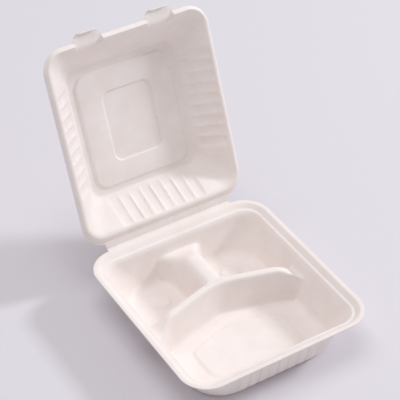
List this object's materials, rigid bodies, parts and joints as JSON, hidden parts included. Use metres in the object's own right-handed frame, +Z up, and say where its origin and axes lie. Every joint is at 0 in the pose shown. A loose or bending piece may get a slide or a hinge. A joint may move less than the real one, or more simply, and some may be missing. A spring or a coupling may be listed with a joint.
{
  "type": "hinged takeaway food box",
  "caption": "Moulded fibre takeaway box with a divided base, a ribbed lid that folds open along the rear edge, and lock tabs at the front.",
  "frame": {"origin": "middle of the flat underside that the base stands on", "axes": "+Z up, +X across the box to its right as seen from the front, +Y from the front edge to the fold at the rear"},
  "size_m": [0.203, 0.3152, 0.2518],
  "materials": {
    "base": "matte",
    "lid": "matte"
  },
  "bodies": {
    "base": {"base": "base"},
    "lid": {"lid": "lid"}
  },
  "joints": [
    {"name": "lid_fold", "type": "hinge", "parent": "base", "child": "lid", "pos_m": [0, 0.111, 0.046], "axis": [1, 0, 0], "range_deg": [-67.6, 112.4]}
  ]
}
